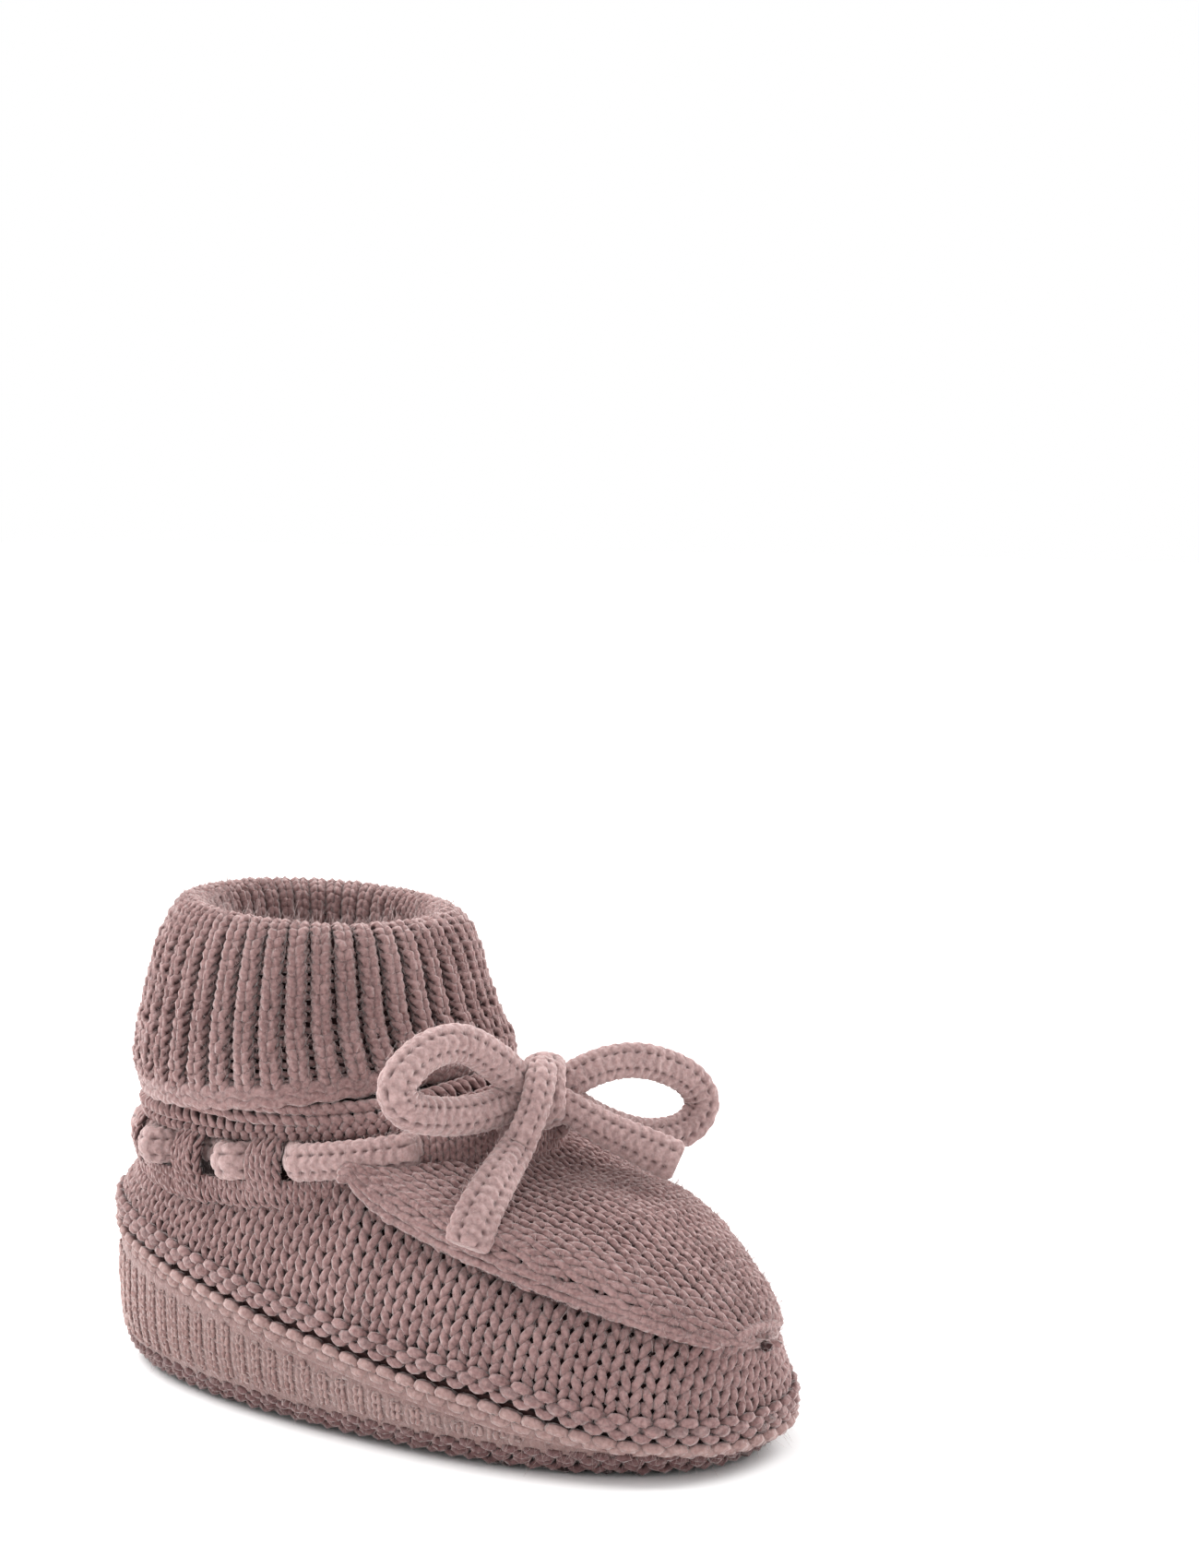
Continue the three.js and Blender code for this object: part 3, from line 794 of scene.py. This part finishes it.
# -------------------- the lace
LACE_COLUMNS = 6
LACE_ROW_LENGTH = 1.4
LACE_RING = 0.17  # distance between the rings of points along it
LACE_SIDES = 10 * LACE_COLUMNS
SEAM_WIDTH, HOLE_LENGTH = 0.1, 0.27  # of the dents between the strips, in columns and in rows
SEAM_DEPTH, HOLE_DEPTH, ARCH_DEPTH, ROUGHNESS = 0.13, 0.16, 0.07, 0.022  # in mm
END_DEPTH, END_LENGTH = 0.6, 0.3  # how the ends are rounded off, in mm
LACE_FIBRES = 14  # to each mm


def smooth_route(points, count):
    points = np.asarray(points, float)
    return np.stack([smooth_curve(points[:, k], count) for k in range(3)], axis=1)


class Lace:
    """A knitted cord: a flattened tube whose stitches run along it."""

    def __init__(self, route, flat_towards, width, thickness):
        self.route = route
        steps = np.linalg.norm(np.diff(route, axis=0), axis=1)
        self.walked = np.concatenate([[0], np.cumsum(steps)])
        self.length = self.walked[-1]
        self.tangent = np.gradient(route, axis=0)
        self.tangent /= np.linalg.norm(self.tangent, axis=1)[:, None]
        side = np.cross(flat_towards, self.tangent)
        side /= np.linalg.norm(side, axis=1)[:, None]
        self.side = side
        self.face = np.cross(self.tangent, side)
        self.width = np.broadcast_to(width, len(route))
        self.thickness = np.broadcast_to(thickness, len(route))

    def along(self, values, walked):
        values = np.asarray(values, float)
        if values.ndim == 1:
            return np.interp(walked, self.walked, values)
        return np.stack([np.interp(walked, self.walked, values[:, k]) for k in range(3)], axis=-1)

    def place(self, around, walked):
        """A point on the lace, a share round its section and a distance along it."""
        around, walked = np.broadcast_arrays(around, np.asarray(walked, float))
        turn = 2 * np.pi * around
        beyond = walked - np.clip(walked, 0, self.length)
        middle = self.along(self.route, walked) + self.along(self.tangent, walked) * beyond[..., None]
        half_width, half_depth = self.along(self.width, walked) / 2, self.along(self.thickness, walked) / 2
        wide = (half_width * np.cos(turn))[..., None] * self.along(self.side, walked)
        deep = (half_depth * np.sin(turn))[..., None] * self.along(self.face, walked)
        return middle - wide + deep

    def knit(self, yarn):
        """Small close stitches as a relief: plain strips, with a row of little dents between each two, and
        painted shade in the dents.
        """
        rings = int(self.length / LACE_RING)
        shares = np.linspace(0, 1, LACE_SIDES, endpoint=False)
        u, v = np.meshgrid(shares, np.linspace(0, self.length, rings))
        column, row = u * LACE_COLUMNS, v / LACE_ROW_LENGTH
        seams = np.round(column)
        from_seam = column - seams
        wander = 0.12 * np.sin(row * 1.7 + seams) + 0.1 * np.sin(row * 4.1 + 2 * seams)
        from_row = row - np.round(row) + wander
        seam = np.exp(-((from_seam / SEAM_WIDTH) ** 2))
        hole = seam * np.exp(-((from_row / HOLE_LENGTH) ** 2))
        arch = np.cos(2 * np.pi * (row + np.abs(from_seam)))
        sunk = SEAM_DEPTH * seam + HOLE_DEPTH * hole + ARCH_DEPTH * arch
        sunk = sunk + random.normal(0, ROUGHNESS, u.shape)
        from_end = np.minimum(v, self.length - v)
        sunk = sunk + END_DEPTH * np.exp(-from_end / END_LENGTH)
        middle = self.along(self.route, v)
        outer = self.place(u, v)
        reach = np.linalg.norm(outer - middle, axis=-1)
        tube = middle + (outer - middle) * (1 - sunk / reach)[..., None]
        lit = 0.68 - 0.42 * hole - 0.12 * seam - 0.12 * arch  # painted shade: darker in the holes, along the seams and where the arches dip, lighter where they rise
        twist = point(lit, 0 * u, v)
        yarn.add(tube.reshape(-1, 3), grid_faces(rings, LACE_SIDES, False), twist.reshape(-1, 3))
        fuzz(yarn, lambda share, up: self.place(share, up * self.length), int(self.length * LACE_FIBRES))


# Routes of the loops and tails, from the knot outwards. The loops' ends go further into the knot than the
# CAD's, and the left loop's top is a little lower.
LOOP_RIGHT = [
    (17.0, -3.4, 42.4), (15.6, -9, 47), (14.2, -13.5, 49.2), (12.9, -18.5, 48.3), (12, -22.2, 45),
    (12.3, -20.8, 41.8), (13.6, -16, 40.4), (15.2, -10.5, 40.2), (16.6, -4.2, 41.2),
]
LOOP_LEFT = [
    (18.0, 1.6, 42.2), (20.6, 7.5, 44.4), (23.4, 12.5, 44.6), (26, 18, 42.2), (26.8, 20.6, 38.6),
    (25.8, 18.6, 35.4), (23.4, 13.5, 34.8), (20.6, 8, 36.8), (18.3, 2.2, 40.4),
]
# The right tail comes down over the knot, and the left one starts inside it.
TAIL_RIGHT = [
    (18.2, -2.0, 45.6), (19.9, -4.2, 44.2), (20.6, -6.2, 41.2), (20.6, -8.0, 38.4),
    (20, -9.2, 36.1), (21, -13.9, 33.4), (21.6, -18.2, 30), (22, -21, 26.4),
]
TAIL_LEFT = [(18.6, -0.8, 41.2), (21.6, 1, 39.4), (24.6, 3.4, 37.2), (28, 6, 35.2), (32, 8.4, 33.2)]
FRONT = np.array([0.63, -0.75, 0.19])  # the way that the bow faces

# Round the ankle, in degrees from the front: where the lace shows, and the posts between, each as its
# middle and half its width.
SHORT_SHOW, LONG_SHOW = 3, 15
SHORT_SHOWS = [(centre, SHORT_SHOW) for centre in (91, 124, 158, 202, 236, 269)]
SHOWS = [(58, LONG_SHOW)] + SHORT_SHOWS + [(302, LONG_SHOW)]
FIRST_EYELET = 10  # where the lace leaves for the knot
POSTS = [(80.5, 4.5), (107.5, 4.5), (141, 4.5), (180, 12), (219, 4.5), (253, 4.5), (278.5, 4.5)]
LACE_BEHIND, LACE_OUTSIDE = -2.6, 1.3  # mm from the ankle's oval, behind a post and where it shows


def shown_outside(degrees):
    """1 where the lace lies outside the knitting, and 0 where it runs behind a post."""
    shown = np.zeros_like(degrees)
    for centre, half in SHOWS:
        shown = np.maximum(shown, 1 - smoothstep(half - 2, half + 3.5, np.abs(degrees - centre)))
    from_end = np.minimum(degrees - FIRST_EYELET, 360 - FIRST_EYELET - degrees)
    return np.maximum(shown, 1 - smoothstep(0, 8, from_end))


def make_loops():
    loops = (
        ("bow_loop_right", "loop_right", LOOP_RIGHT, 4.9, 3.7),
        ("bow_loop_left", "loop_left", LOOP_LEFT, 4.6, 2.6),
    )
    for name, body, points, width, thickness in loops:
        yarn = Yarn()
        route = smooth_route(points, 160)
        lace = Lace(route, np.broadcast_to(FRONT, route.shape), width, thickness)
        lace.knit(yarn)
        piece = done(yarn, name, CORD, body=body)


def make_tails():
    """The two tails, whose CAD nodes are hidden. A start and an end point in metres next to the knot are
    listed for each, but they are not used.
    """
    right_bend = (0.0198, -0.0045, 0.0425), (0.0203, -0.0095, 0.0362)
    left_bend = (0.0192, -0.0004, 0.0408), (0.0224, 0.0016, 0.0388)
    tails = (
        ("lace_tail_right", "tail_right", TAIL_RIGHT, (3.9, 6.0), 0.35, right_bend),
        ("lace_tail_left", "tail_left", TAIL_LEFT, (4.2, 5.4), 0.2, left_bend),
    )
    for name, body, points, widths, widens_from, (start, end) in tails:
        yarn = Yarn()
        route = smooth_route(points, 80)
        share = np.linspace(0, 1, len(route))
        width = mix(*widths, smoothstep(widens_from, 1, share))
        lace = Lace(route, np.broadcast_to(FRONT, route.shape), width, mix(3.2, 2.7, share))
        lace.knit(yarn)
        piece = yarn.build(name + "_knit", CORD)
        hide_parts(name)
        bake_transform(piece)


def make_lace_round():
    yarn = Yarn()
    degrees = np.linspace(FIRST_EYELET, 360 - FIRST_EYELET, 700)
    angle = np.radians(degrees)
    route = point(*ankle(angle, mix(LACE_BEHIND, LACE_OUTSIDE, shown_outside(degrees))), lace_row(angle))
    outwards = point(*ankle(angle, 100), lace_row(angle)) - point(*ankle(angle, 0), lace_row(angle))
    Lace(route, outwards, width=4.8, thickness=3.2).knit(yarn)
    done(yarn, "lace_round_ankle", CORD)


def make_knot():
    """A turn of the lace wrapped upright round the bow's middle."""
    yarn = Yarn()
    turn = np.linspace(-0.75, 1.3, 60) * np.pi
    across = np.array([0.766, 0.643, 0])  # along the bow
    forward = np.cross(across, [0, 0, 1])
    upwards = np.array([0, 0, 1])
    half_depth, half_height, aside = 2.7, 3.4, 0.4
    around = forward * np.cos(turn)[:, None] * half_depth + upwards * np.sin(turn)[:, None] * half_height
    Lace(KNOT + around + across * aside, around, width=5.2, thickness=3.0).knit(yarn)
    done(yarn, "bow_knot", CORD)


# -------------------- the foot
def make_sole():
    """A rim of two rows, over a slab of rows that run along the foot."""
    yarn = Yarn()

    def rim(share, mm):
        return foot_side(foot_angle(share), mm)

    course(yarn, rim, FOOT_COLUMNS, RIM, 2.1)
    course(yarn, rim, FOOT_COLUMNS, RIM, 1.45, first=0.5)
    pitch, row_spacing, row_height = 2.9, 2.35, 0.95
    half_length = FOOT_LENGTH / 2 - 2.6
    margin = 2.2  # between the rows and the sole's outline
    columns = int(2 * half_length / pitch)
    flat = Stitch(height=0.8, lean=0.16, depth=-0.1, radius=0.8, swell=0, sink=0)
    for y_mm in np.arange(-9, 10) * row_spacing:

        def place(column, mm, y_mm=y_mm):
            return point(half_length - column * pitch, y_mm - mm, row_height)

        def keep(column, mm, y_mm=y_mm):
            x = half_length - column * pitch
            share = np.clip(np.abs(x) / (FOOT_LENGTH / 2 - margin), 0, 1) ** (1 / OUTLINE_POWER)
            widest = HALF_WIDTH + BALL_EXTRA * x / (FOOT_LENGTH / 2) - margin
            return np.abs(y_mm) < widest * np.sqrt(1 - share * share) ** OUTLINE_POWER

        course(yarn, place, columns, flat, 0, closed=False, keep=keep)
    make_slab(yarn)
    done(yarn, "sole", PAINTED_SHADE_WOOL)


def make_slab(yarn):
    """The closed body of the sole, as rings of points: how far outside the outline, and how high."""
    # The sole's body takes only a little painted shade.
    steps, lit = 172, 0.5
    rings = [(-3.4, 1.0), (-2.2, 1.2), (-0.9, 2.2), (-1.4, 3.6)]
    angles = foot_angle(np.linspace(0, 1, steps, endpoint=False))
    points = np.concatenate([point(*outline(angles, grow), height + 0 * angles) for grow, height in rings])
    yarn.add(points, grid_faces(len(rings), steps, False), np.tile([lit, 0.0, 0.0], (len(points), 1)))


def make_wall():
    """A close band: smooth upright strands, with a narrow chain of small stitches between them."""
    yarn = Yarn()
    place, span = in_mm(wall, from_top=True)
    strand = np.linspace(0, 1, 14)
    smooth_edge = 1.3  # plain edge above and below the chains
    lowest = 4  # height of wall below which it has no strands
    for k in range(FOOT_COLUMNS):
        share = np.full(len(strand), (k + 0.5 + random.normal(0, 0.03)) / FOOT_COLUMNS)
        height = span(share[:1])[0]
        if height < lowest:
            continue
        mm = -mix(smooth_edge * 0.7, height - smooth_edge * 0.5, strand)
        normal = normals_of(place, share, mm)
        sway = share + np.sin(strand * 9 + k) * 0.0003
        fullness = np.sin(np.pi * strand) ** 0.35
        yarn.lay(place(sway, mm) - normal * 0.85, normal, 0.2 + 0.5 * fullness)
    chain = Stitch(height=0.85, lean=0.18, depth=0.14, radius=0.38, width=0.5, sink=0.5)
    chain_row = 1.0

    def keep(share, mm):
        return (mm < -smooth_edge) & (mm > smooth_edge * 1.2 - span(share))

    for k in range(int(span(np.array([0.5]))[0] / chain_row)):
        at = -(k + 0.5) * chain_row
        course(yarn, place, FOOT_COLUMNS, chain, at, first=-0.5, keep=keep, sides=5, points=10)

    def relief(share, up):
        return 0.1 * np.cos(2 * np.pi * (share * FOOT_COLUMNS - 0.5)) * np.sin(np.pi * up)

    # A lighter sheet: it takes only part of the painted shade of the depths.
    shell(yarn, wall, FOOT_COLUMNS * 6, 12, outer=-0.4, low=-0.03, relief=relief, lit=0.45)
    fuzz(yarn, wall, 2500)
    done(yarn, "sidewall_band", PAINTED_LIGHT_WOOL)


def make_ridges():
    """Two rows of small stitches above the groove, and one row of larger ones below it."""
    yarn = Yarn()
    place, _ = in_mm(ridge_upper)
    course(yarn, place, FOOT_COLUMNS, PURL, 1.25)
    course(yarn, place, FOOT_COLUMNS, PURL, 2.25, first=0.5)
    shell(yarn, ridge_upper, 172, 5, outer=-1.7)
    done(yarn, "purl_ridge_upper", MAUVE)
    yarn = Yarn()

    def below_groove(share, mm):
        return ridge_lower(share, 1 + mm / LOWER_RIDGE_MOST)

    course(yarn, below_groove, FOOT_COLUMNS, HEAD, -1.45)
    # The nearer sheet takes only a little painted shade, and the deeper one all of it.
    shell(yarn, ridge_lower, 172, 5, outer=-0.75, low=-0.3, high=0.45, lit=0.5)
    shell(yarn, ridge_lower, 172, 5, outer=-1.9, low=-0.1)
    done(yarn, "purl_ridge_lower", PAINTED_LIGHT_WOOL)


def make_upper():
    """Stocking stitch. The sheet under it goes on up behind the instep's edge, so that no gap shows."""
    yarn = Yarn()
    place, span = in_mm(upper)
    tallest = max(span(np.linspace(0, 1, 90)))

    def keep(share, mm):
        return mm < span(share) + 0.8

    for k in range(int(tallest / ROW) + 1):
        course(yarn, place, FOOT_COLUMNS, KNIT, (k + 0.4) * ROW, keep=keep)
    shell(yarn, upper, 172, 12, low=-0.03, high=1.18)
    fuzz(yarn, upper, 3500)
    done(yarn, "side_upper", MAUVE)


def make_panel():
    """Columns of stitches that run side by side along the foot, and end one by one at the panel's edges."""
    yarn = Yarn()
    length = 50.0
    rows = int(length / ROW)
    columns = 22
    shares = np.linspace(0, 1, 60)
    for k in range(rows + 1):
        along = (k + 0.5) / rows
        edge_to_edge = np.linalg.norm(np.diff(panel(shares, along), axis=0), axis=1).sum()
        step = PANEL_COLUMN / edge_to_edge

        def place(column, mm, along=along, step=step):
            return panel(0.5 + (column - columns / 2) * step, along + mm / length)

        def keep(column, mm, step=step):
            return np.abs(column - columns / 2) * step < 0.495

        course(yarn, place, columns, PANEL_KNIT, 0, closed=False, keep=keep)
    make_panel_edge(yarn)
    fuzz(yarn, panel, 2800)
    done(yarn, "instep_panel", MAUVE)


def make_panel_edge(yarn):
    """The plain rolled edge at each side, the sheet, and the yarn that ends the panel at the toe."""
    end = 0.975  # where the edges stop, as a share of the way along
    walk = np.linspace(0, end, 120)
    for across in (0.012, 0.03, 0.97, 0.988):
        normal = normals_of(panel, across + 0 * walk, walk)
        sink = 0.75 + 1.2 * smoothstep(0.93, end, walk)
        radius = 0.62 + 0.06 * np.sin(walk * 150)
        yarn.lay(panel(across, walk) - sink[:, None] * normal, normal, radius)
    # The sheet takes nearly the full painted shade of the depths.
    shell(yarn, panel, 41, 40, closed=False, outer=-1.5, inner=-2.6, high=0.962, lit=-0.1)
    share = np.linspace(0.12, 0.88, 40)
    last = end + 0 * share
    normal = normals_of(panel, share, last)
    yarn.lay(panel(share, last) - 0.9 * normal, normal, 0.8)


# -------------------- the ankle and the cuff
def make_eyelets():
    """Courses that are cut away at the eyelets, and go over the lace at the posts between them."""
    yarn = Yarn()
    place, span = in_mm(eyelets)
    middle = span(np.array([0.5]))[0] * -BAND_LOW / (BAND_HIGH - BAND_LOW)
    small = Stitch(height=1.5, lean=0.24, depth=0.3, radius=0.4, swell=0.15, sink=0.7)
    small_row = 1.5
    front = 41  # degrees each side of the front without an eyelet
    half_hole = 2.3
    post_lift, post_height = 1.5, 3.4

    def posted(share):
        degrees = np.degrees(ankle_angle(share))
        return sum(1 - smoothstep(half - 1.5, half + 1.5, np.abs(degrees - centre)) for centre, half in POSTS)

    def keep(share, mm):
        degrees = np.degrees(ankle_angle(share))
        at_front = (degrees < front) | (degrees > 360 - front)
        return at_front | (posted(share) > 0.4) | (np.abs(mm - middle) > half_hole)

    def over_lace(share, mm):
        return post_lift * posted(share) * np.exp(-(((mm - middle) / post_height) ** 2))

    for k in range(5):
        at = k * small_row - 0.9
        course(yarn, place, ANKLE_COLUMNS, small, at, keep=keep, lift=over_lace, points=10)
    shell(yarn, eyelets, 120, 6, outer=-1.9, inner=-3)
    done(yarn, "eyelet_band", MAUVE)


def make_garter():
    yarn = Yarn()
    place, _ = in_mm(garter)
    for k in range(4):
        course(yarn, place, GARTER_COLUMNS, GRAIN, 0.9 + k * 2.2, first=0.25 * (k % 2))
    shell(yarn, garter, 120, 8, outer=-1.8, inner=-2.9)
    done(yarn, "garter_band", MAUVE)


def make_cuff():
    """Ribs that run over the fold. The outer node ends just past the fold, where the inner one starts."""
    place, _ = in_mm(cuff)

    def rib(at):
        """A rib's stitch: narrower than its column, but close to its neighbours over the fold."""
        from_fold = np.abs(at / CUFF_LENGTH - FOLD_AT)
        width = mix(1.0, 0.77, smoothstep(0.03, 0.16, from_fold))
        return Stitch(height=1.25, lean=0.2, depth=0.26, radius=0.56, width=width)

    def furrow(share, mm):
        across = np.cos(2 * np.pi * (share * CUFF_RIBS - 0.5))
        return rib_depth(mm / CUFF_LENGTH) * (across - 0.25)

    def relief(share, up):
        return furrow(share, up * CUFF_LENGTH) * 0.8

    rows = int(CUFF_LENGTH / RIB_ROW)
    fold_row = int(FOLD_AT * rows) + 1
    outside, inside = Yarn(), Yarn()
    for k in range(1, rows):
        part, points, sides = (outside, POINTS, SIDES) if k <= fold_row else (inside, 12, 5)
        at = (k + 0.3) * RIB_ROW
        course(part, place, CUFF_RIBS, rib(at), at, lift=furrow, points=points, sides=sides)
    # The hem is bound off in a soft scalloped edge.
    for at, radius, wave in ((0.55, 1.0, 0.22), (1.9, 0.9, 0.3)):
        ring_yarn(outside, place, at, radius, sink=1.0, count=CUFF_RIBS * 12, wave=wave, waves=CUFF_RIBS)
    around, outer, inner = CUFF_RIBS * 8, -1.15, -2.6
    shell(outside, cuff, around, 60, outer, inner, low=0.03, high=FOLD_AT + 0.12, relief=relief)
    fuzz(outside, cuff, 6000, 0.02, FOLD_AT + 0.08)
    done(outside, "cuff_turned_down", MAUVE)
    shell(inside, cuff, around, 30, outer, inner, low=FOLD_AT + 0.1, relief=relief)

    def lining(round_share, up):
        """A plain tube from the cuff's inner edge, down and out to the hem's height."""
        angle = 2 * np.pi * round_share
        x, y = cuff_ring(angle, mix(14.8, 20.0, up))
        return point(x, y, mix(48, hem_height(angle) - 0.3, up))

    shell(inside, lining, 144, 10, outer=-0.4, inner=-2.2)
    done(inside, "cuff_standing", MAUVE)


make_camera()
make_stage()
make_loops()
make_tails()
make_lace_round()
make_knot()
make_sole()
make_wall()
make_ridges()
make_upper()
make_panel()
make_eyelets()
make_garter()
make_cuff()
